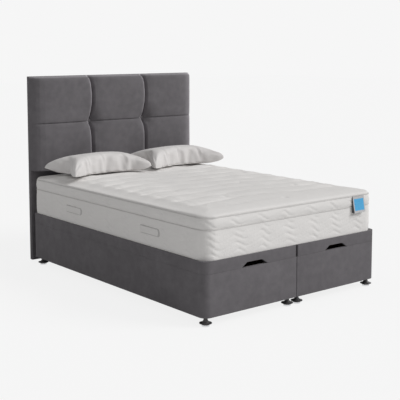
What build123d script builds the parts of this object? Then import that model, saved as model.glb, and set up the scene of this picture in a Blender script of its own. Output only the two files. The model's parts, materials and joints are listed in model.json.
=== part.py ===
"""Ottoman divan bed: two half bases with lifting lids, a tall padded headboard, a mattress and two pillows.

Millimetres. The floor is at zero, +Z is up, +Y points to the headboard and the origin lies under the
middle of the bed. Left is -X and right is +X. The lids open at the foot.
"""

import os
from math import atan2, degrees, hypot

from build123d import *

os.makedirs("parts", exist_ok=True)

# Overall sizes
base_width = 1500
base_length = 2000
box_height = 258
lid_height = 76
foot_corner_radius = 50
small_corner_radius = 6
box_gap = 1
lid_spacing = 14
lid_gap = 1.5
soft_clearance = 0.3
cut_overrun = 5

# Boards, fabric and glides of the base
cover_thickness = 1.5
panel_thickness = 16
lid_rail_thickness = 20
floor_thickness = 6
batten_height = 16
batten_width = 60
batten_count = 5
deck_thickness = 6
slat_height = 18
slat_width = 70
slat_count = 5
glide_height = 55
glide_inset = 42
bell_diameter = 76
bell_neck_diameter = 24
bell_rim = 5
disc_diameter = 49
disc_height = 9
stem_diameter = 10
dust_cover_thickness = 1

# Hand hole in the foot of each lid
hand_hole_offset = 358
hand_hole_mouth = 214
hand_hole_top = 126
hand_hole_height = 31

# Lifting gear. Places are given from the head end of the base and from the underside of its box.
plate_thickness = 3
arm_thickness = 6
arm_width = 30
pin_diameter = 10
pin_clearance = 0.1
running_gap = 1
pin_head_thickness = 3
pin_head_diameter = 16
front_box_pivot = (325.5, 84)
front_lid_pivot = (139.5, 300)
rear_box_pivot = (475.5, 122)
rear_lid_pivot = (239.5, 300)
strut_box_pivot = (180, 45)
strut_lid_pivot = (85, 284)
rear_eye_shift = (3.7, 2.6)
rear_eye_play = 4.8
rod_eye_shift = (-1.5, 1.4)
rod_eye_play = 2.4
plate_margin = 18
cylinder_diameter = 22
cylinder_bore = 18.4
cylinder_length = 215
cylinder_base = 12
cylinder_neck = 10
rod_diameter = 10
piston_diameter = 18
piston_length = 10
piston_start = 34
strut_eye_diameter = 26
strut_eye_thickness = 8

# Headboard
headboard_width = 1500
headboard_top = 1402
headboard_bottom = 20
headboard_depth = 35
headboard_board_thickness = 15
spacer_thickness = 50
spacer_width = 90
spacer_height = 230
frame_rail_width = 60
pad_bottom = 697
pad_row_seam = 1052
pad_column_seam = 250
pad_crest = 85
pad_gap = 1
button_diameter = 26
button_height = 20
button_rim_radius = 8
headboard_foot_diameter = 30
headboard_foot_inset = 120
bolt_diameter = 8
bolt_hole_diameter = 9
bolt_head_diameter = 22
bolt_head_height = 4
bolt_offset = 330
bolt_low = 74
bolt_spacing = 120
bolt_tail = 8

# Mattress
mattress_width = 1486
mattress_length = 1993
mattress_foot_inset = 7
mattress_foot_radius = 90
mattress_head_radius = 25
mattress_least_radius = 8
mattress_lower_seam = 179
mattress_upper_seam = 249
mattress_crown = 300
border_thickness = 22
border_pull = 6
band_pull = 9
underside_thickness = 2
spring_unit_height = 160
piping_diameter = 5
piping_clearance = 1
piping_corner_ease = 4
channel_spacing = 155
channel_width = 16
top_edge_roll = 190
handle_length = 210
handle_width = 52
handle_thickness = 3
handle_height = 99
handle_head_place = 555
handle_foot_place = 1455
label_width = 110
label_height = 108
label_thickness = 1.5
label_inset = 173

# Pillows
pillow_depth = 432
pillow_height = 150
pillow_seam_height = 50
pillow_seam_thickness = 10
pillow_head_gap = 27
left_pillow_width = 674
left_pillow_centre = -362
right_pillow_width = 710
right_pillow_centre = 345

# Places worked out from the sizes above
foot_y = -(base_length + spacer_thickness + headboard_depth) / 2
head_y = foot_y + base_length
headboard_front = head_y + spacer_thickness
headboard_back = headboard_front + headboard_depth
box_bottom = glide_height
box_top = box_bottom + box_height
lid_bottom = box_top + lid_gap
lid_top = box_top + lid_height
outer_x = base_width / 2
deck_bottom = lid_top - cover_thickness - deck_thickness
floor_bottom = box_bottom + dust_cover_thickness + batten_height
skin_out = outer_x - cover_thickness
skin_foot = foot_y + cover_thickness
skin_head = head_y - cover_thickness
post_size = foot_corner_radius - cover_thickness
room_foot = skin_foot + panel_thickness
room_head = skin_head - panel_thickness
box_skin_in = box_gap / 2 + cover_thickness
box_room_in = box_skin_in + panel_thickness
box_room_out = skin_out - panel_thickness
lid_skin_in = lid_spacing / 2 + cover_thickness
lid_room_in = lid_skin_in + lid_rail_thickness
lid_room_out = skin_out - lid_rail_thickness
close_hole = pin_diameter / 2 + pin_clearance
rear_eye_hole = pin_diameter / 2 + rear_eye_play
rod_eye_hole = pin_diameter / 2 + rod_eye_play
rear_washer_diameter = 2 * (rear_eye_hole + rear_eye_play + running_gap)
strut_reach = pin_head_thickness + running_gap + cylinder_diameter / 2
strut_closed = hypot(strut_box_pivot[0] - strut_lid_pivot[0], strut_lid_pivot[1] - strut_box_pivot[1])
halves = ((-1, "left"), (1, "right"))


def save(builder, label):
    """Name a finished piece and write it to its own file."""
    builder.part.label = label
    export_step(builder.part, f"parts/{label}.step")


def board(x_limits, y_limits, z_limits):
    """Add a square-cut board between three pairs of limits to the piece being built."""
    width = abs(x_limits[1] - x_limits[0])
    depth = abs(y_limits[1] - y_limits[0])
    with BuildSketch(Plane.XY.offset(z_limits[0])) as outline:
        with Locations((sum(x_limits) / 2, sum(y_limits) / 2)):
            Rectangle(width, depth)
    extrude(outline.sketch, amount=z_limits[1] - z_limits[0])


def half_outline(side, inner_x, inset, z):
    """One half's plan outline, well rounded at its outer foot corner and eased at the other three."""
    x_near = inner_x + inset
    x_far = outer_x - inset
    y_near = foot_y + inset
    y_far = head_y - inset
    with BuildSketch(Plane.XY.offset(z)) as outline:
        with Locations((side * (x_near + x_far) / 2, (y_near + y_far) / 2)):
            Rectangle(x_far - x_near, y_far - y_near)
        foot_corner = outline.vertices().sort_by(lambda corner: corner.Y - side * corner.X)[0]
        fillet(foot_corner, radius=foot_corner_radius - inset)
        other_corners = outline.vertices().sort_by(lambda corner: corner.Y - side * corner.X)[-3:]
        fillet(other_corners, radius=small_corner_radius - inset)
    return outline.sketch


def drill_bolts(side, y_from, y_to):
    """Cut the two headboard bolt holes of one side through the piece being built."""
    with BuildSketch(Plane.XZ.offset(-y_to)) as holes:
        for level in (bolt_low, bolt_low + bolt_spacing):
            with Locations((side * bolt_offset, box_bottom + level)):
                Circle(bolt_hole_diameter / 2)
    extrude(holes.sketch, amount=y_to - y_from, mode=Mode.SUBTRACT)


def hand_hole(side, y_from, y_to):
    """Cut the slope-ended hand hole of one lid through the piece being built."""
    middle = side * hand_hole_offset
    crown = lid_bottom + hand_hole_height
    ease = (hand_hole_mouth - hand_hole_top) / 4
    with BuildSketch(Plane.XZ.offset(-y_to)) as mouth:
        with BuildLine():
            Polyline(
                (middle - hand_hole_mouth / 2, lid_bottom - cut_overrun),
                (middle - hand_hole_mouth / 2, lid_bottom),
                (middle - hand_hole_top / 2 - ease, lid_bottom + hand_hole_height / 2),
                (middle - hand_hole_top / 2, crown),
                (middle + hand_hole_top / 2, crown),
                (middle + hand_hole_top / 2 + ease, lid_bottom + hand_hole_height / 2),
                (middle + hand_hole_mouth / 2, lid_bottom),
                (middle + hand_hole_mouth / 2, lid_bottom - cut_overrun),
                close=True,
            )
        make_face()
    extrude(mouth.sketch, amount=y_to - y_from, mode=Mode.SUBTRACT)


def place(pivot):
    """A pivot's Y and Z, from its distance to the head end and its height over the box's underside."""
    return head_y - pivot[0], box_bottom + pivot[1]


def corner_post(side, bottom, height):
    """Add the quarter-round foot corner post of one half to the piece being built."""
    reach = post_size - soft_clearance
    centre = Vector(side * (skin_out - post_size), skin_foot + post_size)
    across = centre + Vector(side * reach, 0)
    along = centre - Vector(0, reach)
    middle = centre + Vector(side, -1).normalized() * reach
    with BuildSketch(Plane.XY.offset(bottom)) as quarter:
        with BuildLine():
            Line(centre, across)
            ThreePointArc(across, middle, along)
            Line(along, centre)
        make_face()
    extrude(quarter.sketch, amount=height)


def ease_inner_edges(builder):
    """Round the two upright edges nearest the middle of the bed."""
    edges = builder.edges().filter_by(Axis.Z).sort_by(lambda edge: abs(edge.center().X))
    fillet(edges[:2], radius=small_corner_radius - cover_thickness)


def ease_head_edge(builder):
    """Round the upright edge that is both outermost and nearest the headboard."""
    edges = builder.edges().filter_by(Axis.Z).sort_by(lambda edge: abs(edge.center().X) + edge.center().Y)
    fillet(edges[-1:], radius=small_corner_radius - cover_thickness)


def room_sheet(side, bottom, thickness):
    """Add a sheet that fills one box's room, notched round the corner post, to the piece being built."""
    notch = post_size - panel_thickness
    with BuildSketch(Plane.XY.offset(bottom)) as outline:
        with Locations((side * (box_room_in + box_room_out) / 2, (room_foot + room_head) / 2)):
            Rectangle(box_room_out - box_room_in, room_head - room_foot)
        with Locations((side * box_room_out, room_foot)):
            Rectangle(2 * notch, 2 * notch, mode=Mode.SUBTRACT)
    extrude(outline.sketch, amount=thickness)


# Boxes of the two half bases
def build_boxes():
    walls = (box_bottom, box_top)
    panel_start = skin_out - post_size
    for side, half in halves:
        with BuildPart() as side_panel:
            board((side * box_room_out, side * skin_out), (skin_foot + post_size, skin_head), walls)
            ease_head_edge(side_panel)
        save(side_panel, f"{half}_box_side_panel")

        with BuildPart() as inner_panel:
            board((side * box_skin_in, side * box_room_in), (skin_foot, skin_head), walls)
            ease_inner_edges(inner_panel)
        save(inner_panel, f"{half}_box_inner_panel")

        with BuildPart() as cover:
            extrude(half_outline(side, box_gap / 2, 0, box_bottom), amount=box_height)
            inside = half_outline(side, box_gap / 2, cover_thickness, box_bottom - cut_overrun)
            extrude(inside, amount=box_height + 2 * cut_overrun, mode=Mode.SUBTRACT)
            drill_bolts(side, skin_head - cut_overrun, head_y + cut_overrun)
        save(cover, f"{half}_box_cover")

    with BuildPart() as foot_panels:
        for side, half in halves:
            board((side * box_room_in, side * panel_start), (skin_foot, room_foot), walls)
    save(foot_panels, "box_foot_panels")

    with BuildPart() as head_panels:
        for side, half in halves:
            board((side * box_room_in, side * box_room_out), (room_head, skin_head), walls)
            drill_bolts(side, room_head - cut_overrun, skin_head + cut_overrun)
    save(head_panels, "box_head_panels")

    with BuildPart() as corner_posts:
        for side, half in halves:
            corner_post(side, box_bottom, box_height)
    save(corner_posts, "box_corner_posts")

    with BuildPart() as battens:
        pitch = (room_head - room_foot - batten_width) / (batten_count - 1)
        for side, half in halves:
            for number in range(batten_count):
                start = room_foot + number * pitch
                x_end = box_room_out if number else panel_start
                board((side * box_room_in, side * x_end), (start, start + batten_width),
                      (box_bottom + dust_cover_thickness, floor_bottom))
    save(battens, "box_battens")

    with BuildPart() as floors:
        for side, half in halves:
            room_sheet(side, floor_bottom, floor_thickness)
    save(floors, "box_floors")

    with BuildPart() as dust_covers:
        for side, half in halves:
            room_sheet(side, box_bottom, dust_cover_thickness)
    save(dust_covers, "dust_covers")

    with BuildPart() as linking_plates:
        reach = glide_inset - bell_neck_diameter / 2
        for y in (foot_y + 3 * glide_inset, head_y - 3 * glide_inset):
            board((-2 * reach, 2 * reach), (y - reach, y + reach), (box_bottom - plate_thickness, box_bottom))
    save(linking_plates, "linking_plates")


# Glides under the corners of both halves
def build_glides():
    spots = [
        (side * x, y)
        for side, half in halves
        for x in (box_gap / 2 + glide_inset, outer_x - glide_inset)
        for y in (foot_y + glide_inset, head_y - glide_inset)
    ]
    bell_bottom = disc_height + bell_rim
    flare_base = bell_bottom + bell_rim
    neck_start = glide_height - (glide_height - flare_base) / 3
    neck = bell_neck_diameter / 2
    rim = bell_diameter / 2
    with BuildPart() as bells:
        with BuildSketch(Plane.XZ) as profile:
            with BuildLine():
                Polyline((0, glide_height), (0, bell_bottom), (disc_diameter / 2, bell_bottom),
                         (rim, flare_base - bell_rim / 2), (rim, flare_base))
                TangentArc((rim, flare_base), (neck, neck_start), tangent=(-1, 0))
                Polyline((neck, neck_start), (neck, glide_height), (0, glide_height))
            make_face()
        bell = revolve(profile.sketch, axis=Axis.Z, mode=Mode.PRIVATE)
        with Locations(*spots):
            add(bell)
    save(bells, "glide_bells")

    with BuildPart() as discs:
        with BuildSketch() as feet:
            with Locations(*spots):
                Circle(disc_diameter / 2)
        extrude(feet.sketch, amount=disc_height)
        with BuildSketch(Plane.XY.offset(disc_height)) as stems:
            with Locations(*spots):
                Circle(stem_diameter / 2)
        extrude(stems.sketch, amount=bell_rim)
    save(discs, "glide_discs")


# Lids of the two half bases
def build_lids():
    rails = (lid_bottom, deck_bottom)
    for side, half in halves:
        with BuildPart() as frame:
            board((side * lid_skin_in, side * lid_room_in), (skin_foot, skin_head), rails)
            ease_inner_edges(frame)
            board((side * lid_room_out, side * skin_out), (skin_foot + post_size + soft_clearance, skin_head),
                  rails)
            ease_head_edge(frame)
            board((side * (lid_room_in + soft_clearance), side * (lid_room_out - soft_clearance)),
                  (skin_head - lid_rail_thickness, skin_head), rails)
            corner_post(side, lid_bottom, deck_bottom - lid_bottom)
        save(frame, f"{half}_lid_frame")

        with BuildPart() as foot_rail:
            board((side * lid_room_in, side * (skin_out - post_size)),
                  (skin_foot, skin_foot + lid_rail_thickness), rails)
            hand_hole(side, skin_foot - cut_overrun, skin_foot + lid_rail_thickness + cut_overrun)
        save(foot_rail, f"{half}_lid_foot_rail")

        with BuildPart() as slats:
            first = skin_foot + lid_rail_thickness + 2 * slat_width
            last = head_y - rear_lid_pivot[0] - 3 * slat_width
            pitch = (last - first) / (slat_count - 1)
            for number in range(slat_count):
                start = first + number * pitch
                board((side * lid_room_in, side * lid_room_out), (start, start + slat_width),
                      (deck_bottom - slat_height, deck_bottom))
        save(slats, f"{half}_lid_slats")

        with BuildPart() as deck:
            extrude(half_outline(side, lid_spacing / 2, cover_thickness + soft_clearance, deck_bottom),
                    amount=deck_thickness)
        save(deck, f"{half}_lid_deck")

        with BuildPart() as cover:
            extrude(half_outline(side, lid_spacing / 2, 0, lid_bottom), amount=lid_top - lid_bottom)
            inside = half_outline(side, lid_spacing / 2, cover_thickness, lid_bottom - cut_overrun)
            extrude(inside, amount=lid_top - cover_thickness - lid_bottom + cut_overrun, mode=Mode.SUBTRACT)
            hand_hole(side, foot_y - cut_overrun, skin_foot + cut_overrun)
        save(cover, f"{half}_lid_cover")


def plate(face_x, way, pivots, low, high):
    """A steel plate flat on a wall, reaching past its outermost pivots and between two heights."""
    ys = [place(pivot)[0] for pivot in pivots]
    with BuildSketch(Plane.YZ.offset(face_x)) as outline:
        with Locations(((min(ys) + max(ys)) / 2, (low + high) / 2)):
            RectangleRounded(max(ys) - min(ys) + 2 * plate_margin, high - low, plate_margin / 2)
    extrude(outline.sketch, amount=way * plate_thickness)


def pin(start_x, end_x, pivot, diameter=pin_diameter):
    """A round pin along X through one pivot."""
    with BuildSketch(Plane.YZ.offset(start_x)) as circle:
        with Locations(place(pivot)):
            Circle(diameter / 2)
    extrude(circle.sketch, amount=end_x - start_x)


def arm(start_x, end_x, low_pivot, high_pivot, high_hole=close_hole, high_shift=(0, 0)):
    """A flat arm with a close-fitting lower hole and an upper hole of its own size and place."""
    low_y, low_z = place(low_pivot)
    high_y, high_z = place(high_pivot)
    length = hypot(high_y - low_y, high_z - low_z)
    tilt = degrees(atan2(high_z - low_z, high_y - low_y))
    hole_centre = (high_y - high_shift[0], high_z + high_shift[1])
    with BuildSketch(Plane.YZ.offset(start_x)) as outline:
        with Locations(((low_y + high_y) / 2, (low_z + high_z) / 2)):
            SlotCenterToCenter(length, arm_width, rotation=tilt)
        with Locations(hole_centre):
            Circle(high_hole + (arm_width - pin_diameter) / 2)
            Circle(high_hole, mode=Mode.SUBTRACT)
        with Locations((low_y, low_z)):
            Circle(close_hole, mode=Mode.SUBTRACT)
    extrude(outline.sketch, amount=end_x - start_x)


def strut_plane(x):
    """A plane at the strut's lower pivot whose normal runs up the strut."""
    low_y, low_z = place(strut_box_pivot)
    high_y, high_z = place(strut_lid_pivot)
    return Plane(origin=(x, low_y, low_z), x_dir=(1, 0, 0), z_dir=(0, high_y - low_y, high_z - low_z))


def strut_barrel(plane, start, end, diameter, mode=Mode.ADD):
    """A round length of strut between two distances from its lower pivot."""
    with BuildSketch(plane.offset(start)) as circle:
        Circle(diameter / 2)
    extrude(circle.sketch, amount=end - start, mode=mode)


def strut_eye(plane, distance, hole_radius=close_hole, across=0):
    """A flat eye on the strut, its hole along X, at a distance from the lower pivot and moved across."""
    centre = plane.origin + plane.z_dir * distance - plane.y_dir * across
    eye_radius = hole_radius + (strut_eye_diameter - pin_diameter) / 2
    with BuildSketch(Plane.YZ.offset(centre.X - strut_eye_thickness / 2)) as ring:
        with Locations((centre.Y, centre.Z)):
            Circle(eye_radius)
    extrude(ring.sketch, amount=strut_eye_thickness)
    with BuildSketch(Plane.YZ.offset(centre.X - cylinder_diameter)) as hole:
        with Locations((centre.Y, centre.Z)):
            Circle(hole_radius)
    extrude(hole.sketch, amount=2 * cylinder_diameter, mode=Mode.SUBTRACT)


# Lifting gear: one set on each long side of each half
def build_gear():
    def gear_walls(side):
        """The X of the box's wall, the X of the lid's rail and the way from them into the half."""
        inner = (side * box_room_in, side * lid_room_in, side)
        outer = (side * box_room_out, side * lid_room_out, -side)
        return inner, outer

    def arm_limits(lid_x, way):
        start = lid_x + way * (plate_thickness + running_gap)
        return start, start + way * arm_thickness

    def strut_centre(lid_x, way):
        return arm_limits(lid_x, way)[1] + way * strut_reach

    def headed_pin(from_x, lid_x, way, pivot, head=pin_head_diameter):
        """A pin from a plate through an arm, with its head on the arm's far side."""
        neck = arm_limits(lid_x, way)[1] + way * running_gap / 2
        pin(from_x, neck, pivot)
        pin(neck, neck + way * pin_head_thickness, pivot, head)

    def strut_pin(from_x, lid_x, way, pivot):
        pin(from_x, strut_centre(lid_x, way) + way * strut_eye_thickness, pivot)

    with BuildPart() as box_plates:
        for side, half in halves:
            for box_x, lid_x, way in gear_walls(side):
                plate(box_x, way, (rear_box_pivot, strut_box_pivot), place(strut_box_pivot)[1] - plate_margin,
                      place(rear_box_pivot)[1] + plate_margin)
                headed_pin(box_x + way * plate_thickness, lid_x, way, front_box_pivot)
                headed_pin(box_x + way * plate_thickness, lid_x, way, rear_box_pivot)
                strut_pin(box_x + way * plate_thickness, lid_x, way, strut_box_pivot)
    save(box_plates, "box_hinge_plates")

    for side, half in halves:
        walls = gear_walls(side)
        with BuildPart() as lid_plates:
            for box_x, lid_x, way in walls:
                plate(lid_x, way, (rear_lid_pivot, strut_lid_pivot), place(strut_lid_pivot)[1] - plate_margin,
                      place(front_lid_pivot)[1] + pin_diameter)
                headed_pin(lid_x + way * plate_thickness, lid_x, way, front_lid_pivot)
                headed_pin(lid_x + way * plate_thickness, lid_x, way, rear_lid_pivot, rear_washer_diameter)
                strut_pin(lid_x + way * plate_thickness, lid_x, way, strut_lid_pivot)
        save(lid_plates, f"{half}_lid_hinge_plates")

        with BuildPart() as front_arms:
            for box_x, lid_x, way in walls:
                arm(*arm_limits(lid_x, way), front_box_pivot, front_lid_pivot)
        save(front_arms, f"{half}_front_lift_arms")

        with BuildPart() as rear_arms:
            for box_x, lid_x, way in walls:
                arm(*arm_limits(lid_x, way), rear_box_pivot, rear_lid_pivot, rear_eye_hole, rear_eye_shift)
        save(rear_arms, f"{half}_rear_lift_arms")

        with BuildPart() as cylinders:
            tube_end = cylinder_base + cylinder_length
            for box_x, lid_x, way in walls:
                plane = strut_plane(strut_centre(lid_x, way))
                strut_barrel(plane, strut_eye_diameter / 2 - plate_thickness, tube_end, cylinder_diameter)
                strut_eye(plane, 0)
                strut_barrel(plane, piston_start - running_gap, tube_end - cylinder_neck, cylinder_bore,
                             Mode.SUBTRACT)
                strut_barrel(plane, tube_end - cylinder_neck, tube_end, rod_diameter + 2 * pin_clearance,
                             Mode.SUBTRACT)
        save(cylinders, f"{half}_strut_cylinders")

        with BuildPart() as rods:
            for box_x, lid_x, way in walls:
                plane = strut_plane(strut_centre(lid_x, way))
                strut_barrel(plane, piston_start, piston_start + piston_length, piston_diameter)
                strut_barrel(plane, piston_start + piston_length, strut_closed - rod_eye_hole, rod_diameter)
                strut_eye(plane, strut_closed + rod_eye_shift[0], rod_eye_hole, rod_eye_shift[1])
        save(rods, f"{half}_strut_rods")


# Headboard
def build_headboard():
    half_width = headboard_width / 2
    board_front = headboard_front + cover_thickness
    board_back = board_front + headboard_board_thickness
    frame_back = headboard_back - cover_thickness
    low = headboard_bottom + cover_thickness
    high = headboard_top - cover_thickness
    side_x = half_width - cover_thickness

    with BuildPart() as front_board:
        board((-side_x, side_x), (board_front, board_back), (low, high))
        for side in (-1, 1):
            drill_bolts(side, board_front - cut_overrun, board_back + cut_overrun)
    save(front_board, "headboard_board")

    with BuildPart() as timber_frame:
        for side in (-1, 1):
            board((side * (side_x - frame_rail_width), side * side_x), (board_back, frame_back), (low, high))
            upright_near = side * (pad_column_seam - frame_rail_width / 2)
            upright_far = side * (pad_column_seam + frame_rail_width / 2)
            board((upright_near, upright_far), (board_back, frame_back),
                  (low + frame_rail_width + soft_clearance, high - frame_rail_width - soft_clearance))
        span = side_x - frame_rail_width - soft_clearance
        board((-span, span), (board_back, frame_back), (low, low + frame_rail_width))
        board((-span, span), (board_back, frame_back), (high - frame_rail_width, high))
    save(timber_frame, "headboard_frame")

    with BuildPart() as cover:
        board((-half_width, half_width), (headboard_front, headboard_back), (headboard_bottom, headboard_top))
        with BuildSketch(Plane.XY.offset(low)) as hollow:
            with Locations((0, (board_front + frame_back) / 2)):
                Rectangle(2 * side_x, frame_back - board_front)
        extrude(hollow.sketch, amount=high - low, mode=Mode.SUBTRACT)
        for side in (-1, 1):
            drill_bolts(side, headboard_front - cut_overrun, board_front + cut_overrun)
    save(cover, "headboard_cover")

    with BuildPart() as spacers:
        for side in (-1, 1):
            middle = side * bolt_offset
            foot = box_bottom + bolt_low + bolt_spacing / 2 - spacer_height / 2
            board((middle - spacer_width / 2, middle + spacer_width / 2), (head_y, headboard_front),
                  (foot, foot + spacer_height))
            drill_bolts(side, head_y - cut_overrun, headboard_front + cut_overrun)
    save(spacers, "headboard_spacers")

    spots = [(side * bolt_offset, box_bottom + level) for side in (-1, 1)
             for level in (bolt_low, bolt_low + bolt_spacing)]
    with BuildPart() as fasteners:
        with BuildSketch(Plane.XZ.offset(-room_head)) as heads:
            with Locations(*spots):
                Circle(bolt_head_diameter / 2)
        extrude(heads.sketch, amount=bolt_head_height)
        with BuildSketch(Plane.XZ.offset(-board_back - bolt_tail)) as shanks:
            with Locations(*spots):
                Circle(bolt_diameter / 2)
        extrude(shanks.sketch, amount=board_back + bolt_tail - room_head)
        with BuildSketch(Plane.XZ.offset(-board_back - bolt_tail / 2)) as flanges:
            with Locations(*spots):
                Circle(bolt_head_diameter / 2)
        extrude(flanges.sketch, amount=bolt_tail / 2)
    save(fasteners, "headboard_bolts")

    with BuildPart() as feet:
        middle_y = (headboard_front + headboard_back) / 2
        for side in (-1, 1):
            with BuildSketch(Plane.XY) as foot:
                with Locations((side * (half_width - headboard_foot_inset), middle_y)):
                    Circle(headboard_foot_diameter / 2)
            extrude(foot.sketch, amount=headboard_bottom)
    save(feet, "headboard_feet")

    with BuildPart() as buttons:
        for side in (-1, 1):
            with BuildSketch(Plane.XZ.offset(-headboard_front)) as base:
                with Locations((side * pad_column_seam, pad_row_seam)):
                    Circle(button_diameter / 2)
            extrude(base.sketch, amount=button_height)
        front_rims = buttons.faces().filter_by(Axis.Y).sort_by(Axis.Y)[:2].edges()
        fillet(front_rims, radius=button_rim_radius)
    save(buttons, "headboard_buttons")


def bowed_outline(plane, x_limits, z_limits, corner_in, bow):
    """A four-sided outline whose corners are drawn in and whose sides bow out again, each one arc."""
    x_low, x_high = x_limits[0] + corner_in, x_limits[1] - corner_in
    z_low, z_high = z_limits[0] + corner_in, z_limits[1] - corner_in
    x_mid, z_mid = (x_low + x_high) / 2, (z_low + z_high) / 2
    with BuildSketch(plane) as outline:
        with BuildLine():
            ThreePointArc((x_low, z_low), (x_mid, z_low - bow), (x_high, z_low))
            ThreePointArc((x_high, z_low), (x_high + bow, z_mid), (x_high, z_high))
            ThreePointArc((x_high, z_high), (x_mid, z_high + bow), (x_low, z_high))
            ThreePointArc((x_low, z_high), (x_low - bow, z_mid), (x_low, z_low))
        make_face()
    return outline.sketch


# Six headboard pads, each crowned and drawn in at its corners
def build_pads():
    columns = (("left", -headboard_width / 2, -pad_column_seam),
               ("middle", -pad_column_seam, pad_column_seam),
               ("right", pad_column_seam, headboard_width / 2))
    rows = (("lower", pad_bottom, pad_row_seam), ("upper", pad_row_seam, headboard_top))
    # Height over the board, how far the corners draw in and how far the sides bow, as shares of the crest
    crown_shares = ((0, 0.03, 0.01), (0.4, 0.2, 0.16), (0.8, 0.6, 0.46), (1, 1.2, 0.7))
    for row, z_low, z_high in rows:
        for column, x_low, x_high in columns:
            x_limits = (x_low + pad_gap / 2, x_high - pad_gap / 2)
            z_limits = (z_low + pad_gap / 2, z_high - pad_gap / 2)
            with BuildPart() as pad:
                sections = [
                    bowed_outline(Plane.XZ.offset(-headboard_front + pad_crest * rise), x_limits, z_limits,
                                  pad_crest * corner_in, pad_crest * bow)
                    for rise, corner_in, bow in crown_shares
                ]
                loft(sections)
                with BuildSketch(Plane.XZ.offset(-headboard_front)) as seats:
                    with Locations((-pad_column_seam, pad_row_seam), (pad_column_seam, pad_row_seam)):
                        Circle(button_diameter / 2 + soft_clearance)
                extrude(seats.sketch, amount=pad_crest, mode=Mode.SUBTRACT)
            save(pad, f"headboard_pad_{row}_{column}")


# Mattress
mattress_bottom = lid_top + soft_clearance
mattress_foot = foot_y + mattress_foot_inset
mattress_middle = mattress_foot + mattress_length / 2


def mattress_outline(inset, height):
    """The mattress's plan, rounder at the foot, drawn in by an inset, at a height over its underside."""
    with BuildSketch(Plane.XY.offset(mattress_bottom + height)) as outline:
        with Locations((0, mattress_middle)):
            Rectangle(mattress_width - 2 * inset, mattress_length - 2 * inset)
        foot_corners = outline.vertices().sort_by(Axis.Y)[:2]
        fillet(foot_corners, radius=max(mattress_foot_radius - inset, mattress_least_radius))
        head_corners = outline.vertices().sort_by(Axis.Y)[-2:]
        fillet(head_corners, radius=max(mattress_head_radius - inset, mattress_least_radius))
    return outline.sketch


def build_mattress():
    core_inset = border_thickness + soft_clearance

    with BuildPart() as spring_unit:
        extrude(mattress_outline(core_inset, underside_thickness), amount=spring_unit_height)
    save(spring_unit, "mattress_spring_unit")

    comfort_start = underside_thickness + spring_unit_height
    with BuildPart() as comfort_layer:
        extrude(mattress_outline(core_inset, comfort_start), amount=mattress_upper_seam - comfort_start)
    save(comfort_layer, "mattress_comfort_layer")

    with BuildPart() as border:
        middle = mattress_lower_seam / 2
        loft([mattress_outline(border_pull, 0), mattress_outline(0, middle),
              mattress_outline(border_pull, mattress_lower_seam)])
        core = mattress_outline(border_thickness, underside_thickness)
        extrude(core, amount=mattress_lower_seam + cut_overrun, mode=Mode.SUBTRACT)
    save(border, "mattress_border")

    with BuildPart() as top_band:
        middle = (mattress_lower_seam + mattress_upper_seam) / 2
        loft([mattress_outline(band_pull, mattress_lower_seam), mattress_outline(0, middle),
              mattress_outline(band_pull, mattress_upper_seam)])
        core = mattress_outline(border_thickness, mattress_lower_seam - cut_overrun)
        extrude(core, amount=mattress_upper_seam - mattress_lower_seam + 2 * cut_overrun, mode=Mode.SUBTRACT)
    save(top_band, "mattress_top_band")

    with BuildPart() as top_panel:
        # How far in from the band, as shares of the roll, and how high, as shares of the rise to the crown
        roll_shares = ((0, 0), (0, 0.3), (0.09, 0.72), (0.42, 0.93), (1, 1))
        rise = mattress_crown - mattress_upper_seam
        loft([mattress_outline(band_pull + top_edge_roll * in_share, mattress_upper_seam + rise * rise_share)
              for in_share, rise_share in roll_shares])
        channel_count = int(mattress_length / channel_spacing)
        half_width = mattress_width / 2
        with BuildSketch(Plane.YZ.offset(-half_width - cut_overrun)) as channels:
            for number in range(1, channel_count + 1):
                y = mattress_foot + number * channel_spacing - channel_spacing / 2
                with Locations((y, mattress_bottom + mattress_crown)):
                    Rectangle(channel_width, channel_width, rotation=45)
        extrude(channels.sketch, amount=mattress_width + 2 * cut_overrun, mode=Mode.SUBTRACT)
    save(top_panel, "mattress_top_panel")

    with BuildPart() as handles:
        for side in (-1, 1):
            face_x = side * (mattress_width / 2 + soft_clearance)
            with BuildSketch(Plane.YZ.offset(face_x)) as straps:
                for from_head in (handle_head_place, handle_foot_place):
                    with Locations((head_y - from_head, mattress_bottom + handle_height)):
                        SlotOverall(handle_length, handle_width)
            extrude(straps.sketch, amount=side * handle_thickness)
    save(handles, "mattress_handles")

    with BuildPart() as label:
        with BuildSketch(Plane.XZ.offset(-mattress_foot + soft_clearance)) as tag:
            middle = mattress_width / 2 - label_inset
            with Locations((middle, mattress_bottom + mattress_upper_seam - label_height / 2)):
                Rectangle(label_width, label_height)
        extrude(tag.sketch, amount=label_thickness)
    save(label, "mattress_label")


def build_piping():
    with BuildPart() as piping:
        for inset, height in ((border_pull, mattress_lower_seam), (band_pull, mattress_upper_seam)):
            reach = piping_diameter / 2 + piping_clearance - inset
            side_x = mattress_width / 2 + reach
            near = mattress_foot - reach
            far = mattress_foot + mattress_length + reach
            foot_radius = mattress_foot_radius + reach - piping_corner_ease
            with BuildLine(Plane.XY.offset(mattress_bottom + height)) as half_ring:
                FilletPolyline((0, near), (side_x, near), (side_x, far), (0, far),
                               radius=(foot_radius, mattress_head_radius + reach))
            path = half_ring.wire()
            with BuildSketch(Plane(origin=path @ 0, z_dir=path % 0)) as section:
                Circle(piping_diameter / 2)
            sweep(section.sketch, path=path)
        mirror(about=Plane.YZ)
    save(piping, "mattress_piping")


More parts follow.
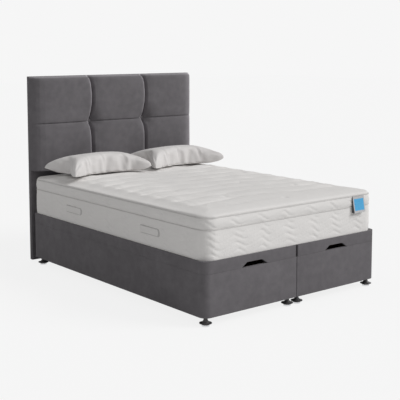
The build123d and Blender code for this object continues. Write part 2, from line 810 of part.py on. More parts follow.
# Pillows
def build_pillow(side_name, centre_x, width):
    """A crowned pillow: lens-shaped sections, fullest in the middle, with drawn-in sides and pointed tips."""
    # Place along the pillow, half depth and half thickness, each as a share of its full value
    half_shares = ((0, 0.90, 1), (0.35, 0.91, 0.96), (0.7, 0.93, 0.72), (0.92, 0.97, 0.30), (1, 1, 0))
    section_shares = [(-along, depth, thick) for along, depth, thick in reversed(half_shares[1:])]
    section_shares += half_shares
    centre_y = headboard_front - pad_crest - pillow_head_gap - pillow_depth / 2
    seam_z = mattress_bottom + mattress_crown + soft_clearance + pillow_seam_height
    half_seam = pillow_seam_thickness / 2
    with BuildPart() as pillow:
        sections = []
        for along, depth_share, thick_share in section_shares:
            half_depth = pillow_depth / 2 * depth_share
            above = half_seam + (pillow_height - pillow_seam_height - half_seam) * thick_share
            below = half_seam + (pillow_seam_height - half_seam) * thick_share
            with BuildSketch(Plane.YZ.offset(centre_x + along * width / 2)) as lens:
                with BuildLine():
                    near = centre_y - half_depth
                    far = centre_y + half_depth
                    Line((near, seam_z - half_seam / 2), (near, seam_z + half_seam / 2))
                    ThreePointArc((near, seam_z + half_seam / 2), (centre_y, seam_z + above),
                                  (far, seam_z + half_seam / 2))
                    Line((far, seam_z + half_seam / 2), (far, seam_z - half_seam / 2))
                    ThreePointArc((far, seam_z - half_seam / 2), (centre_y, seam_z - below),
                                  (near, seam_z - half_seam / 2))
                make_face()
            sections.append(lens.sketch)
        loft(sections)
    save(pillow, f"{side_name}_pillow")


build_boxes()
build_glides()
build_lids()
build_gear()
build_headboard()
build_pads()
build_mattress()
build_piping()
build_pillow("left", left_pillow_centre, left_pillow_width)
build_pillow("right", right_pillow_centre, right_pillow_width)
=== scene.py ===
"""Ottoman divan bed: upholstery, headboard pads, mattress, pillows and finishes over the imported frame.

Metres, in the part's frame: the floor is at zero, +Y points to the headboard and left is -X.
"""

import json
from math import pi, radians

import bmesh
import bpy
import numpy as np
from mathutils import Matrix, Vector


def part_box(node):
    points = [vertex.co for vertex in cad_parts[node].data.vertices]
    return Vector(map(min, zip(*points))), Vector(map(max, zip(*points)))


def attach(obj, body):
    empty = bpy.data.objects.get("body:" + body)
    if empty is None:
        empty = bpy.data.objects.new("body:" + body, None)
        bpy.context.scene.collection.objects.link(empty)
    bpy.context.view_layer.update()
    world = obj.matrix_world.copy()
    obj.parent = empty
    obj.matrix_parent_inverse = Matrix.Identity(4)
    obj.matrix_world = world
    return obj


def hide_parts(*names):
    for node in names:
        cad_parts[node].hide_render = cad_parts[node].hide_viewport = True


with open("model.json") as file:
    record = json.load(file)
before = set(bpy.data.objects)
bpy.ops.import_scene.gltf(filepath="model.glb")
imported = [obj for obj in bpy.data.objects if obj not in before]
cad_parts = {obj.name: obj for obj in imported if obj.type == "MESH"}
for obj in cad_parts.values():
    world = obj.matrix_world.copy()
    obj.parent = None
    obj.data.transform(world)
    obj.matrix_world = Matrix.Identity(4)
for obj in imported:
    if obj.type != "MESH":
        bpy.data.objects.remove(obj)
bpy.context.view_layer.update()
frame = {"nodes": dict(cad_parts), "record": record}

nodes = frame["nodes"]
halves = (("left", -1), ("right", 1))

# Picking faces and edges: the least share of a direction along an axis, and how close the same place is
facing = 0.9
same_place = 0.0001
same_point = 0.00001

# Upholstery of the base
cloth_thickness = 0.0012
foot_corner_radius = 0.05
small_corner_radius = 0.006
corner_reach = 0.001
box_lip = 0.017
lid_lip = 0.021
cloth_proud = 0.0005
cloth_edge = 0.003
hand_hole_middle = 0.358
hand_hole_mouth = 0.2124
hand_hole_top = 0.1244
hand_hole_height = 0.0302

# Headboard
cover_edge = 0.0045
pad_column_seam = 0.25
row_gap = 0.0005
pad_gap = 0.0003
pad_face_step = 0.006
pad_crest = 0.085
pad_corner_round = 0.03
edge_crowding = 0.117
steep_side = 0.1
seam_draw_width = 0.05
seam_bow_depth = 0.008
seam_bow_width = 0.06
pad_sag = 0.022
pad_dimples = 0.012
# Painted highlight along the pads' top, right-hand and seam edges: its strength at the top, and how far it
# reaches from each edge
top_highlight_strength = 0.35
top_highlight_width = 0.009
side_highlight_width = 0.032
seam_highlight_width = 0.017
button_radius = 0.0135
button_depth = 0.009
button_stand = 0.016
button_dip = 0.3
button_dip_radius = 0.035
button_folds = 5
fold_height = 0.05
fold_start = 0.03
fold_reach = 0.1

# Heights of the pads, as shares of the crest, by the distance from a seam, an edge or a corner
steep_seam = ((0, 0.5), (0.002, 0.86), (0.006, 0.96), (0.015, 0.995), (0.04, 1))
gentle_seam = ((0, 0.35), (0.004, 0.68), (0.012, 0.86), (0.025, 0.94), (0.05, 0.985), (0.08, 1))
side_edge = ((0, 0.05), (0.004, 0.2), (0.01, 0.35), (0.02, 0.5), (0.03, 0.62), (0.05, 0.78), (0.09, 0.93),
             (0.16, 1))
row_dip = ((0, 0.85), (0.004, 0.92), (0.012, 0.955), (0.03, 0.98), (0.07, 0.995), (0.2, 1))
top_edge = ((0, 0.1), (0.002, 0.5), (0.006, 0.78), (0.014, 0.92), (0.03, 0.985), (0.06, 1))
top_corner = ((-0.012, 0.05), (0, 0.35), (0.005, 0.7), (0.012, 0.92), (0.02, 1))

# Height left on a column seam, and the share of its bow, from the row seam at 0 to the top of the pads at 1
seam_tightness = ((-0.5, 1), (-0.33, 0.97), (-0.15, 0.76), (0, 0.36), (0.15, 0.6), (0.38, 0.93), (0.6, 1),
                  (0.8, 0.86), (1, 0.45))
seam_bow_run = ((0, 0), (0.2, 0.8), (0.5, 1), (0.85, 0.9), (1, 0.3))

# Mattress
outline_foot_radius = 0.09
outline_head_radius = 0.025
corner_steps = 24
border_pull = 0.0045
band_pull = 0.007
border_cloth = 0.0019
band_padding = 0.008
puff_length = 0.207
puff_rise = 0.046
zigzag_rise = 0.036
quilt_height = 0.007
strip_step = 0.0085
strip_bulge = 0.001
strip_wander = 0.0015
piping_radius = 0.0025
piping_stand = 0.6
ridge_pitch = 0.155
ridge_depth = 0.017
ripple_pitch = 0.044
ripple_depth = 0.0034
fine_edge = 0.04
fine_share = 0.07
roll_width = 0.22
corner_sink = 0.2
corner_sink_radius = 0.15
handle_length = 0.21
handle_width = 0.052
strap_sunk = 0.001
strap_root = 0.0035
label_lift = 0.022
label_stand = 0.0035
label_gap = 0.0008
label_return = 0.17
label_turn = 0.002
label_thickness = 0.0012
tuft_depth = 0.008
tuft_radius = 0.016
tufts = ((0.173, -0.301), (0.388, -0.621), (0.008, -0.922), (-0.42, -0.33), (-0.3, -0.7), (0.52, 0.05),
         (0.05, 0.1), (-0.45, 0.2))

# One zigzag of the stitching: its slant and how tightly it is drawn, over a turn from 0 to 1
zigzag = ((0, -0.45), (0.05, -0.48), (0.68, 0.48), (0.73, 0.48), (0.95, -0.4), (1, -0.45))
stitch_tightness = ((0, 0.8), (0.08, 0.45), (0.3, 0.25), (0.6, 0.4), (0.72, 1), (0.9, 1), (1, 0.8))

# The top's rolled edge: distance from the outline before and after rolling, then height at the foot and sides
rolled_edge_rise = 0.051
rolled_edge = ((0, 0.009, 0, 0), (0.008, 0.0085, 0.009, 0.008), (0.018, 0.0125, 0.0165, 0.0125),
               (0.03, 0.025, 0.0225, 0.015), (0.05, 0.048, 0.0275, 0.0175), (0.08, 0.08, 0.0333, 0.0255),
               (0.12, 0.12, 0.0388, 0.0395), (0.18, 0.18, 0.0443, 0.0485), (0.25, 0.25, 0.0487, 0.0505),
               (0.33, 0.33, rolled_edge_rise, rolled_edge_rise))

# Where the side's roll and the ridges set in, by the distance from the foot, either end or a side
side_roll_run = ((0, 0), (0.08, 0), (0.3, 1))
ridge_ends = ((0, 0), (0.1, 0), (0.24, 1))
ridge_strength = ((0, 0), (0.05, 0.05), (0.11, 0.5), (0.16, 1.8), (0.3, 1.4), (0.5, 0.8), (0.75, 0.5))

# A strap's height over the border by the distance from its own edge, with a line of stitching along it
strap_height = ((0, 0.0002), (0.0015, 0.004), (0.005, 0.0048), (0.0065, 0.003), (0.008, 0.0046),
                (0.014, 0.0056), (0.026, 0.006))

# Pillows: each crease is given by its place along the front, its lean and its reach, as shares of the pillow
cover_growth = 1.13
cover_pinch = 0.004
cover_thickness = 0.006
swell_frames = 20
swell_settings = {"quality": 6, "mass": 0.3, "tension_stiffness": 12, "compression_stiffness": 12,
                  "bending_stiffness": 1.2, "use_pressure": True, "uniform_pressure_force": 8}
pillow_underside = ((0, 0), (0.4, 0.75), (1, 1))
crease_width = 0.013
crease_depth = 0.01
corner_creases = 15
corner_crease_reach = 0.08
crease_start = 0.03
pillow_creases = ((0.2, 0.1, 0.3), (0.3, -0.1, 0.45), (0.53, -0.15, 0.5), (0.6, 0.1, 0.3), (0.77, -0.1, 0.45))

# Finishes
plush_colour = (0.14, 0.132, 0.14)
ticking_colour = (0.76, 0.743, 0.728)
white = (1, 1, 1)

# Light and camera
sun_place = (0.8, -4, 3)
sun_direction = (0.5, -0.52, 0.58)
sun_energy = 1.9
sun_width = radians(28)
sky_strength = 0.4
floor_size = 60
floor_shade = 0.8
floor_glow = 0.958
floor_evenness = 0.88
backdrop_glow = 0.922
camera_place = (-3.9560, -4.9549, 1.6400)
camera_dip = radians(6.086)
camera_turn = radians(-39.033)
camera_lens = 80.863
camera_sensor = 36
camera_shift = -0.15


class Value:
    """A node's output that sums can be written with. Each operation adds one Math node."""

    def __init__(self, finish, socket):
        self.finish = finish
        self.socket = socket

    def maths(self, operation, first, second=None):
        return self.finish.node("Math", {"operation": operation}, {0: first, 1: second})

    def __add__(self, other):
        return self.maths("ADD", self, other)

    def __rsub__(self, other):
        return self.maths("SUBTRACT", other, self)

    def __mul__(self, other):
        return self.maths("MULTIPLY", self, other)

    def __abs__(self):
        return self.maths("ABSOLUTE", self)

    def __gt__(self, other):
        return self.maths("GREATER_THAN", self, other)

    def __lt__(self, other):
        return self.maths("LESS_THAN", self, other)

    def wave(self):
        return self.maths("SINE", self)


class Finish:
    """The nodes of one material, or of the surroundings."""

    def __init__(self, owner):
        owner.use_nodes = True
        self.owner = owner
        self.tree = owner.node_tree
        self.tree.nodes.clear()

    def node(self, kind, settings=None, sockets=None, output=0):
        """Add a node, set it up, give its sockets values or links, and return one of its outputs."""
        added = self.tree.nodes.new("ShaderNode" + kind)
        for name, setting in (settings or {}).items():
            setattr(added, name, setting)
        for name, value in (sockets or {}).items():
            if isinstance(value, Value):
                self.tree.links.new(value.socket, added.inputs[name])
            elif value is not None:
                added.inputs[name].default_value = value
        return Value(self, added.outputs[output]) if added.outputs else None

    def blend(self, factor, first, second):
        """A colour between two others."""
        return self.node("Mix", {"data_type": "RGBA"}, {0: factor, 6: first, 7: second}, 2)

    def place(self, source="Object"):
        return self.node("TexCoord", output=source)

    def along(self, place, axis):
        """A place's distance along one axis."""
        return self.node("SeparateXYZ", {}, {"Vector": place}, axis)

    def noise(self, place, scale, detail=2):
        return self.node("TexNoise", {}, {"Vector": place, "Scale": scale, "Detail": detail})

    def bumps(self, height, depth, strength=1):
        """A normal roughened by a height that runs from 0 to 1 over a depth in metres."""
        return self.node("Bump", {}, {"Strength": strength, "Distance": depth, "Height": height})

    def direct_view(self):
        """1 for the camera, reflections and clear glass, and 0 for the light that falls on other things."""
        camera, shine, glass = (self.node("LightPath", output=f"Is {ray} Ray")
                                for ray in ("Camera", "Glossy", "Transmission"))
        return camera.maths("MAXIMUM", camera.maths("MAXIMUM", camera, shine), glass)

    def surface(self, colour, rough, normal=None, others=None):
        """Finish the material with one shader and return it."""
        sockets = {"Base Color": colour, "Roughness": rough, "Normal": normal, **(others or {})}
        shader = self.node("BsdfPrincipled", {}, sockets)
        self.node("OutputMaterial", {}, {"Surface": shader})
        return self.owner


def new_finish(name):
    return Finish(bpy.data.materials.new(name))


def shade_of(colour, share):
    return (colour[0] * share, colour[1] * share, colour[2] * share, 1)


def plush():
    """Short dark grey pile, brushed here and there, with a painted highlight along the pads' right-hand and
    top edges.
    """
    cloth = new_finish("dark_grey_plush")
    place = cloth.place()
    brushed = cloth.noise(place, 5, 3)
    patches = cloth.noise(place, 22, 2)
    pile = cloth.noise(place, 900, 2)
    shade = brushed * 0.35 + patches * 0.4 + pile * 0.25
    spread = cloth.node("MapRange", {}, {"Value": shade, "From Min": 0.36, "From Max": 0.64})
    own_colour = cloth.blend(spread, shade_of(plush_colour, 0.88), shade_of(plush_colour, 1.12))
    # Painted highlight: up to 4.2 times the plush colour where the pads' edges would catch a sheen
    painted_highlight = cloth.node("Attribute", {"attribute_name": "painted_rim_highlight"}, output="Fac")
    colour = cloth.blend(painted_highlight, own_colour, shade_of(plush_colour, 4.2))
    normal = cloth.bumps(pile * 0.8 + patches * 0.2, 0.001, 0.5)
    return cloth.surface(colour, 0.9, normal, {"Sheen Weight": 0.16, "Sheen Roughness": 0.3,
                                               "Specular IOR Level": 0.2})


def ticking():
    """Pale knitted mattress cloth."""
    cloth = new_finish("pale_quilted_knit")
    place = cloth.place()
    soft = cloth.noise(place, 9, 2)
    yarn = cloth.noise(place, 650, 1)
    shade = soft * 0.6 + yarn * 0.4
    colour = cloth.blend(shade, shade_of(ticking_colour, 0.95), shade_of(ticking_colour, 1.04))
    cells = cloth.node("TexVoronoi", {}, {"Vector": place, "Scale": 260}, "Distance")
    pebbles = cloth.noise(place, 75, 2)
    normal = cloth.bumps(pebbles * 0.75 + cells * 0.15 + yarn * 0.1, 0.0035, 0.5)
    return cloth.surface(colour, 0.88, normal, {"Sheen Weight": 0.1, "Specular IOR Level": 0.2})


def cotton():
    """White woven pillow cotton."""
    cloth = new_finish("white_pillow_cotton")
    place = cloth.place()
    warp = abs((cloth.along(place, "X") * 2600).wave())
    weft = abs((cloth.along(place, "Y") * 2600).wave())
    threads = warp * 0.5 + weft * 0.5
    creases = cloth.noise(place, 14, 3)
    colour = cloth.blend(creases, (0.67, 0.651, 0.642, 1), (0.712, 0.691, 0.682, 1))
    normal = cloth.bumps(creases * 0.8 + threads * 0.2, 0.0015, 0.35)
    return cloth.surface(colour, 0.85, normal, {"Sheen Weight": 0.08, "Specular IOR Level": 0.2})


def dark_welt():
    """The shaded cord cloth of the mattress seams."""
    cloth = new_finish("grey_piping_cloth")
    place = cloth.place("UV")
    twill = (cloth.along(place, "X") * 1400).wave() * 0.5 + 0.5
    colour = cloth.blend(twill, (0.56, 0.55, 0.54, 1), (0.66, 0.645, 0.63, 1))
    return cloth.surface(colour, 0.9, cloth.bumps(twill, 0.0004, 0.6), {"Specular IOR Level": 0.2})


def handle_webbing():
    """The mattress cloth again, darkened round the edge of a strap as painted shade."""
    cloth = new_finish("strap_webbing")
    place = cloth.place("UV")
    along = cloth.along(place, "X")
    across = cloth.along(place, "Y")
    # Painted shade: a band round the strap's edge is darkened to 0.62 of the cloth, for the shadow along its
    # rim
    inside = ((along > 0.014) * (along < handle_length - 0.005)
              * (across > 0.005) * (across < handle_width - 0.006))
    ribs = abs((across * 900).wave())
    shade = inside * 0.75 + ribs * 0.25
    colour = cloth.blend(shade, shade_of(ticking_colour, 0.62), shade_of(ticking_colour, 1.02))
    return cloth.surface(colour, 0.88, cloth.bumps(ribs, 0.0006, 0.5), {"Specular IOR Level": 0.2})


def label_cloth():
    """A plain blue woven face with a grey hem, and its turned-back side painted near black as shade."""
    cloth = new_finish("blue_tag_cloth")
    place = cloth.place("UV")
    across = cloth.along(place, "X")
    along = cloth.along(place, "Y")
    face = (across > 0.24) * (across < 0.95) * (along > 0.13) * (along < 0.84)
    threads = abs((across * 380).wave()) * 0.5 + abs((along * 380).wave()) * 0.5
    blue = cloth.blend(threads, (0.07, 0.34, 0.63, 1), (0.1, 0.43, 0.73, 1))
    grey = cloth.blend(threads, (0.4, 0.4, 0.41, 1), (0.56, 0.56, 0.57, 1))
    # Painted shade: the turned-back side is near black for the shade in the fold behind the tag
    painted_shade = cloth.blend(threads, (0.06, 0.06, 0.065, 1), (0.1, 0.1, 0.105, 1))
    colour = cloth.blend(across < label_return, cloth.blend(face, grey, blue), painted_shade)
    return cloth.surface(colour, 0.7, cloth.bumps(threads, 0.0003, 0.4), {"Specular IOR Level": 0.25})


def chipboard():
    """Pressed wood chips."""
    wood = new_finish("raw_chipboard")
    place = wood.place()
    chips = wood.node("TexVoronoi", {}, {"Vector": place, "Scale": 130, "Randomness": 1}, "Color")
    chip_shade = wood.node("SeparateColor", {}, {"Color": chips}, 0)
    dust = wood.noise(place, 400, 2)
    colour = wood.blend(chip_shade * 0.75 + dust * 0.25, (0.3, 0.2, 0.11, 1), (0.62, 0.47, 0.3, 1))
    return wood.surface(colour, 0.8, wood.bumps(chip_shade, 0.0004, 0.4))


def pine():
    """Planed softwood with its grain along the longest runs."""
    wood = new_finish("planed_pine")
    place = wood.place()
    drawn = wood.node("Mapping", {}, {"Vector": place, "Scale": (6, 1.1, 22)})
    bend = wood.noise(drawn, 1.6, 3)
    rings = wood.node("TexNoise", {}, {"Vector": drawn, "Scale": 5, "Detail": 5, "Distortion": 1.4})
    pores = wood.node("Mapping", {}, {"Vector": place, "Scale": (300, 40, 300)})
    grain = wood.noise(pores, 3, 2)
    shade = rings * 0.6 + bend * 0.2 + grain * 0.2
    spread = wood.node("MapRange", {}, {"Value": shade, "From Min": 0.35, "From Max": 0.65})
    colour = wood.blend(spread, (0.5, 0.33, 0.16, 1), (0.74, 0.57, 0.36, 1))
    return wood.surface(colour, grain * 0.2 + 0.5, wood.bumps(grain, 0.0003, 0.4))


def spun_cloth():
    """Black dust cloth with its pressed dots."""
    cloth = new_finish("black_dust_cloth")
    place = cloth.place()
    dots = cloth.node("TexVoronoi", {}, {"Vector": place, "Scale": 420, "Randomness": 0.1}, "Distance")
    fibre = cloth.noise(place, 240, 3)
    colour = cloth.blend(fibre * 0.6 + dots * 0.4, (0.012, 0.012, 0.012, 1), (0.045, 0.045, 0.046, 1))
    return cloth.surface(colour, 0.95, cloth.bumps(dots, 0.0004, 0.6))


def black_steel():
    """Steel with a fine-grained black powder coat."""
    steel = new_finish("black_powder_coat")
    place = steel.place()
    grain = steel.noise(place, 1500, 2)
    wear = steel.noise(place, 35, 4)
    colour = steel.blend(wear, (0.018, 0.018, 0.02, 1), (0.035, 0.035, 0.038, 1))
    return steel.surface(colour, wear * 0.25 + 0.35, steel.bumps(grain, 0.0002, 0.35))


def bright_steel():
    """Bright plating with faint polishing marks."""
    steel = new_finish("bright_plated_steel")
    place = steel.place()
    smears = steel.noise(place, 60, 3)
    colour = steel.blend(smears, (0.66, 0.67, 0.69, 1), (0.8, 0.8, 0.81, 1))
    return steel.surface(colour, smears * 0.12 + 0.1, others={"Metallic": 1})


def zinc_steel():
    """Dull zinc plating."""
    steel = new_finish("zinc_plated_steel")
    place = steel.place()
    spangle = steel.node("TexVoronoi", {}, {"Vector": place, "Scale": 400}, "Distance")
    colour = steel.blend(spangle, (0.45, 0.45, 0.43, 1), (0.66, 0.66, 0.62, 1))
    return steel.surface(colour, spangle * 0.2 + 0.3, others={"Metallic": 1})


def dark_plastic():
    """Dark moulded plastic with a soft shine."""
    plastic = new_finish("dark_moulded_plastic")
    place = plastic.place()
    scuffs = plastic.noise(place, 90, 4)
    colour = plastic.blend(scuffs, (0.045, 0.043, 0.046, 1), (0.08, 0.077, 0.08, 1))
    return plastic.surface(colour, scuffs * 0.2 + 0.35, plastic.bumps(scuffs, 0.0002, 0.2))


def pocket_cloth():
    """Rows of springs in thin cloth pockets."""
    cloth = new_finish("spring_pocket_cloth")
    place = cloth.place()
    pockets = cloth.node("TexVoronoi", {}, {"Vector": place, "Scale": 17, "Randomness": 0}, "Distance")
    colour = cloth.blend(pockets, (0.8, 0.8, 0.78, 1), (0.55, 0.55, 0.54, 1))
    return cloth.surface(colour, 0.9, cloth.bumps(1 - pockets, 0.01, 0.7))


def soft_foam():
    """Open-celled comfort foam."""
    foam = new_finish("comfort_foam")
    place = foam.place()
    cells = foam.node("TexVoronoi", {}, {"Vector": place, "Scale": 500}, "Distance")
    colour = foam.blend(cells, (0.7, 0.68, 0.6, 1), (0.86, 0.85, 0.78, 1))
    return foam.surface(colour, 0.95, foam.bumps(cells, 0.0006, 0.6))


finishes = {
    "upholstery": plush(),
    "board": chipboard(),
    "timber": pine(),
    "dust_cloth": spun_cloth(),
    "black_steel": black_steel(),
    "bright_steel": bright_steel(),
    "zinc_steel": zinc_steel(),
    "glide_plastic": dark_plastic(),
    "ticking": ticking(),
    "spring": pocket_cloth(),
    "foam": soft_foam(),
    "label_cloth": label_cloth(),
    "pillow_cotton": cotton(),
}
piping_finish = dark_welt()
strap_finish = handle_webbing()


# Modelling helpers

def pick_out(piece):
    """Make a piece the only selected object."""
    bpy.ops.object.select_all(action="DESELECT")
    piece.select_set(True)
    bpy.context.view_layer.objects.active = piece


def start_block(name, low, high):
    """A block between two corners, left open in edit mode."""
    bpy.ops.mesh.primitive_cube_add(size=1, location=(low + high) / 2, scale=high - low)
    block = bpy.context.active_object
    block.name = block.data.name = name
    bpy.ops.object.transform_apply(location=True, rotation=True, scale=True)
    bpy.ops.object.mode_set(mode="EDIT")
    return block


def choose(kind, test):
    """In edit mode, select only the faces or edges whose middle and direction pass a test."""
    bpy.ops.mesh.select_mode(type=kind)
    bpy.ops.mesh.select_all(action="DESELECT")
    mesh = bmesh.from_edit_mesh(bpy.context.active_object.data)
    if kind == "FACE":
        for face in mesh.faces:
            face.select_set(bool(test(face.calc_center_median(), face.normal)))
    else:
        for edge in mesh.edges:
            first, second = (corner.co for corner in edge.verts)
            edge.select_set(bool(test((first + second) / 2, (second - first).normalized())))
    bmesh.update_edit_mesh(bpy.context.active_object.data)


def apply_modifier(piece, kind, **settings):
    """Add one modifier with its settings and apply it."""
    pick_out(piece)
    modifier = piece.modifiers.new(kind, kind)
    for name, setting in settings.items():
        setattr(modifier, name, setting)
    bpy.ops.object.modifier_apply(modifier=modifier.name)


def smooth(piece, angle=40):
    pick_out(piece)
    bpy.ops.object.shade_smooth_by_angle(angle=radians(angle))


def join_pieces(pieces, name):
    """Join some pieces into the first one, under a new name."""
    bpy.ops.object.select_all(action="DESELECT")
    for piece in pieces:
        piece.select_set(True)
    bpy.context.view_layer.objects.active = pieces[0]
    bpy.ops.object.join()
    pieces[0].name = pieces[0].data.name = name
    return pieces[0]


def start_grid(name, across, along):
    """A flat grid with that many faces each way, and its points' places over it from 0 to 1."""
    bpy.ops.mesh.primitive_grid_add(x_subdivisions=across, y_subdivisions=along, size=2)
    grid = bpy.context.active_object
    grid.name = grid.data.name = name
    flat = np.empty(len(grid.data.vertices) * 3)
    grid.data.vertices.foreach_get("co", flat)
    shares = (flat.reshape(-1, 3)[:, :2] + 1) / 2
    return grid, shares[:, 0], shares[:, 1]


def set_points(piece, x, y, z):
    """Move a piece's points to these places."""
    piece.data.vertices.foreach_set("co", np.stack([x, y, z], axis=1).ravel())
    piece.data.update()


def get_points(piece):
    flat = np.empty(len(piece.data.vertices) * 3)
    piece.data.vertices.foreach_get("co", flat)
    return flat.reshape(-1, 3)


def scale_uv(piece, across, along):
    """Turn a piece's own map, which runs from 0 to 1, into these lengths in metres."""
    layer = piece.data.uv_layers[0].data
    flat = np.empty(len(layer) * 2)
    layer.foreach_get("uv", flat)
    layer.foreach_set("uv", (flat.reshape(-1, 2) * (across, along)).ravel())


def merge_doubles(piece):
    """Merge a piece's points that lie in one place and leave it in edit mode."""
    pick_out(piece)
    bpy.ops.object.mode_set(mode="EDIT")
    bpy.ops.mesh.select_all(action="SELECT")
    bpy.ops.mesh.remove_doubles(threshold=same_point)


def turn_outwards():
    """Turn the faces outwards and leave edit mode."""
    bpy.ops.mesh.select_all(action="SELECT")
    bpy.ops.mesh.normals_make_consistent(inside=False)
    bpy.ops.object.mode_set(mode="OBJECT")


def close_piece(piece, back=None):
    """Merge doubles and close the open rim over a plane, given by its axis and level, where there is one."""
    merge_doubles(piece)
    if back is not None:
        axis, level = back
        bpy.ops.mesh.select_all(action="DESELECT")
        bpy.ops.mesh.select_mode(type="EDGE")
        bpy.ops.mesh.select_non_manifold(extend=False)
        bpy.ops.mesh.extrude_region_move()
        mesh = bmesh.from_edit_mesh(piece.data)
        for corner in mesh.verts:
            if corner.select:
                corner.co[axis] = level
        bmesh.update_edit_mesh(piece.data)
        bpy.ops.mesh.edge_face_add()
    turn_outwards()


def dress(piece, slot, body, *replaced, finish=None):
    """Give a finished piece its material, its body and the nodes that it stands for."""
    piece.data.materials.clear()
    piece.data.materials.append(finish or finishes[slot])
    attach(piece, body)
    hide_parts(*replaced)


def steps(distance, profile, column=1):
    """A value read on straight lines between the rows of a profile, whose first column is the distance."""
    return np.interp(distance, [row[0] for row in profile], [row[column] for row in profile])


def ripple(x, y, *waves):
    """A fixed uneven field, at most 1 high, of waves given as turns a metre in x and y, and start."""
    total = sum(np.sin(2 * pi * (x * over_x + y * over_y) + start) for over_x, over_y, start in waves)
    return total / len(waves)


# Upholstery of the boxes and lids

def wrap_rim(way, lip):
    """In edit mode, turn the cloth over the top or bottom edge by a lip and open the middle."""
    first = small_corner_radius * 0.8
    choose("FACE", lambda place, normal: normal.z * way > facing)
    bpy.ops.mesh.inset(thickness=first, depth=0)
    bpy.ops.mesh.remove_doubles(threshold=small_corner_radius * 0.3)
    bpy.ops.mesh.inset(thickness=lip - first, depth=0)
    bpy.ops.mesh.delete(type="FACE")


def open_hand_hole(side, foot, bottom):
    """Cut the slope-ended hand hole in the foot of a lid and line it with cloth."""
    middle = side * hand_hole_middle
    top = bottom + hand_hole_height
    slope_ends = ((0, hand_hole_mouth / 2), (hand_hole_height, hand_hole_top / 2))
    for way in (-1, 1):
        mouth = Vector((middle + way * hand_hole_mouth / 2, foot, bottom))
        slope = Vector((-way * (hand_hole_mouth - hand_hole_top) / 2, 0, hand_hole_height))
        across = slope.cross(Vector((0, 1, 0))).normalized()
        choose("FACE", lambda place, normal: normal.y < -facing)
        bpy.ops.mesh.bisect(plane_co=mouth, plane_no=across)
        choose("FACE", lambda place, normal: normal.z < -facing and place.y < foot + lid_lip)
        bpy.ops.mesh.bisect(plane_co=mouth, plane_no=(1, 0, 0))
    choose("FACE", lambda place, normal: normal.y < -facing)
    bpy.ops.mesh.bisect(plane_co=(middle, foot, top), plane_no=(0, 0, 1))

    def over_lip(place):
        return place.y < foot + lid_lip and abs(place.x - middle) < hand_hole_mouth / 2

    def in_hole(place, normal):
        reach = steps(place.z - bottom, slope_ends)
        return normal.y < -facing and place.z < top and abs(place.x - middle) < reach

    choose("FACE", lambda place, normal: normal.z < -facing and over_lip(place))
    bpy.ops.mesh.delete(type="FACE")
    choose("FACE", in_hole)
    bpy.ops.mesh.extrude_region_move(TRANSFORM_OT_translate={"value": (0, lid_lip, 0)})
    bpy.ops.mesh.delete(type="FACE")
    choose("FACE", lambda place, normal: abs(place.z - bottom) < same_place and over_lip(place))
    bpy.ops.mesh.delete(type="FACE")


def cover_half(half, side, part, body):
    """The cloth wrapped round one box or one lid."""
    node = f"{half}_{part}_cover"
    low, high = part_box(node)
    outer = low.x if side < 0 else high.x
    low.z -= cloth_proud
    if part == "box":
        high.z += cloth_proud
    cover = start_block(f"{half}_{part}_upholstery", low, high)

    def at_foot_corner(place, way):
        near_corner = abs(place.x - outer) < corner_reach and abs(place.y - low.y) < corner_reach
        return abs(way.z) > facing and near_corner

    choose("EDGE", lambda place, way: abs(way.z) > facing and not at_foot_corner(place, way))
    bpy.ops.mesh.bevel(offset=small_corner_radius, segments=4, affect="EDGES")
    choose("EDGE", at_foot_corner)
    bpy.ops.mesh.bevel(offset=foot_corner_radius, segments=12, affect="EDGES")
    if part == "box":
        wrap_rim(1, box_lip)
        wrap_rim(-1, box_lip)
    else:
        wrap_rim(-1, lid_lip)
        open_hand_hole(side, low.y, low.z)
    bpy.ops.object.mode_set(mode="OBJECT")
    apply_modifier(cover, "BEVEL", limit_method="ANGLE", angle_limit=radians(35), width=cloth_edge,
                   segments=3)
    apply_modifier(cover, "SOLIDIFY", thickness=cloth_thickness, offset=-1)
    smooth(cover)
    dress(cover, "upholstery", body, node)


for half, side in halves:
    cover_half(half, side, "box", "root")
    cover_half(half, side, "lid", f"{half}_lid")


# Headboard

board_low, board_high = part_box("headboard_cover")
pad_low, pad_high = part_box("headboard_pad_lower_left")
row_seam = pad_high.z + row_gap
pad_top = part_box("headboard_pad_upper_left")[1].z
half_board = board_high.x


def wrap_headboard():
    cover = start_block("headboard_upholstery", board_low, board_high)
    bpy.ops.mesh.select_all(action="SELECT")
    bpy.ops.mesh.bevel(offset=cover_edge, segments=3, affect="EDGES")
    bpy.ops.object.mode_set(mode="OBJECT")
    smooth(cover)
    dress(cover, "upholstery", "root", "headboard_cover")


def column_distance(x):
    """How far a place is from the nearer column seam."""
    return np.minimum(abs(x - pad_column_seam), abs(x + pad_column_seam))


def row_share(z):
    """A height as a share of the way from the row seam to the top of the pads."""
    return (z - row_seam) / (pad_top - row_seam)


def top_slope(x, z):
    """The pads' height near their top edge and its rounded corners, as a share of the crest."""
    from_top = pad_top - z
    gap_x = np.maximum(pad_corner_round - np.minimum(column_distance(x), half_board - abs(x)), 0)
    gap_z = np.maximum(pad_corner_round - from_top, 0)
    from_corner = pad_corner_round - np.hypot(gap_x, gap_z)
    return np.minimum(steps(from_top, top_edge), steps(from_corner, top_corner))


def seam_slope(x, z):
    """The pads' height near the column seams, steep on a seam's left and gentle on its right."""
    from_column = column_distance(x)
    next_seam = np.where(x < -pad_column_seam, -pad_column_seam, pad_column_seam)
    on_its_left = (x < next_seam) & (next_seam - x < steep_side)
    column = np.where(on_its_left, steps(from_column, steep_seam), steps(from_column, gentle_seam))
    drawn_in = steps(row_share(z), seam_tightness)
    return column * (1 - (1 - drawn_in) * np.exp(-(from_column / seam_draw_width) ** 1.5))


